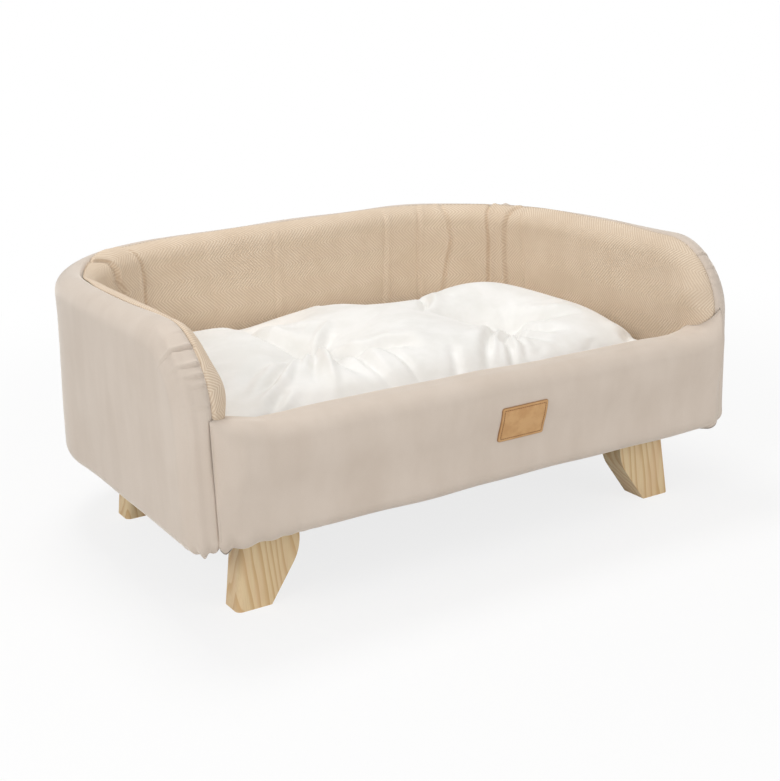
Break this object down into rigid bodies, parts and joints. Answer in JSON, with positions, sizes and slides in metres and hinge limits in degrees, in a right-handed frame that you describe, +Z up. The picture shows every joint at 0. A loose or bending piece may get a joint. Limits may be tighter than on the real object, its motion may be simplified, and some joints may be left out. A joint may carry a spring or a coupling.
{
  "type": "dog sofa bed",
  "caption": "Upholstered dog sofa bed with padded back and arms, low padded front, loose tufted cushion and splayed pine feet.",
  "frame": {"origin": "on the floor under the middle of the whole object's box", "axes": "+X to the right across the width, the front faces -Y, +Z up"},
  "size_m": [0.8, 0.6216, 0.355],
  "materials": {
    "plywood": "matte",
    "softwood_batten": "matte",
    "beech_dowel": "matte",
    "pine": "satin",
    "zinc_steel": "satin",
    "foam": "matte",
    "greige_velvet": "matte",
    "herringbone_cloth": "matte",
    "lining_cloth": "matte",
    "black_nonwoven": "matte",
    "tan_leather": "satin",
    "cream_velvet": "satin"
  },
  "bodies": {
    "sofa": {"base_board": "plywood", "back_board": "plywood", "side_board_left": "plywood", "side_board_right": "plywood", "corner_board_left": "plywood", "corner_board_right": "plywood", "front_rail": "plywood", "cleat_left": "softwood_batten", "cleat_right": "softwood_batten", "cleat_back": "softwood_batten", "cleat_front": "softwood_batten", "joint_battens": "softwood_batten", "frame_screws": "zinc_steel", "back_foam": "foam", "arm_foam_left": "foam", "arm_foam_right": "foam", "front_foam": "foam", "outer_cover": "greige_velvet", "inner_cover": "herringbone_cloth", "front_cover": "greige_velvet", "deck_lining": "lining_cloth", "dust_cover": "black_nonwoven", "leather_patch": "tan_leather", "foot_front_left": "pine", "foot_front_right": "pine", "foot_back_left": "pine", "foot_back_right": "pine", "hanger_bolts": "zinc_steel", "foot_dowels": "beech_dowel", "tee_nuts": "zinc_steel"},
    "cushion": {"cushion": "cream_velvet"}
  },
  "joints": [
    {"name": "cushion_lift", "type": "slide", "parent": "sofa", "child": "cushion", "axis": [0, 0, 1], "range_m": [0, 0.26]}
  ]
}
